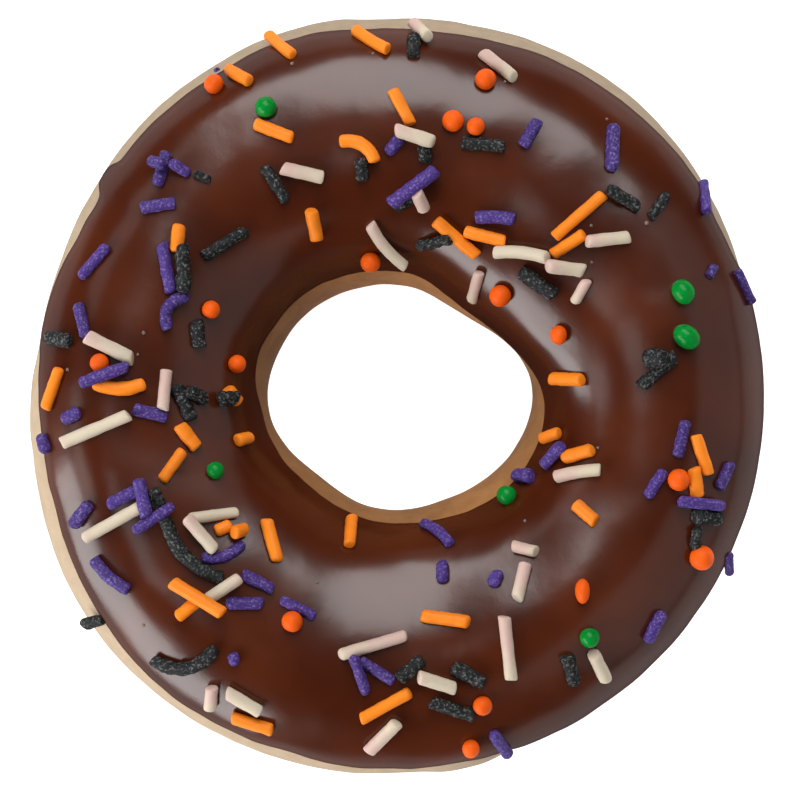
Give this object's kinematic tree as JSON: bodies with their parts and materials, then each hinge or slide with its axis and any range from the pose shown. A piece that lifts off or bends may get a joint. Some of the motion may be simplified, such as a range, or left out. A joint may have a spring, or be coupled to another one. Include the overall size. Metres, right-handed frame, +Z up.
{
  "type": "iced ring doughnut with sprinkles",
  "caption": "Ring doughnut of fried dough, iced with chocolate over its top half and scattered with sugar sprinkles; it stands on its flat underside.",
  "frame": {"origin": "middle of the ring, in the plane of the flat foot it stands on", "axes": "+Z up through the hole, with the icing on top; +Y along the ring's slightly longer width"},
  "size_m": [0.0904, 0.0939, 0.0292],
  "materials": {
    "dough": "fried dough crust, golden brown with a pale band round the rim, matt",
    "icing": "set chocolate icing, dark brown, soft gloss",
    "sprinkle_orange": "sugar sprinkle, orange, satin",
    "sprinkle_purple": "sugar sprinkle, purple, matt and a little grainy",
    "sprinkle_black": "sugar sprinkle, black, matt and crumbly",
    "sprinkle_pale": "sugar sprinkle, cream to pale pink, satin",
    "bead_orange": "hard sugar bead, deep orange, satin",
    "bead_green": "hard sugar bead, green, glossy"
  },
  "bodies": {
    "root": {"dough": "dough", "icing": "icing"}
  },
  "joints": []
}
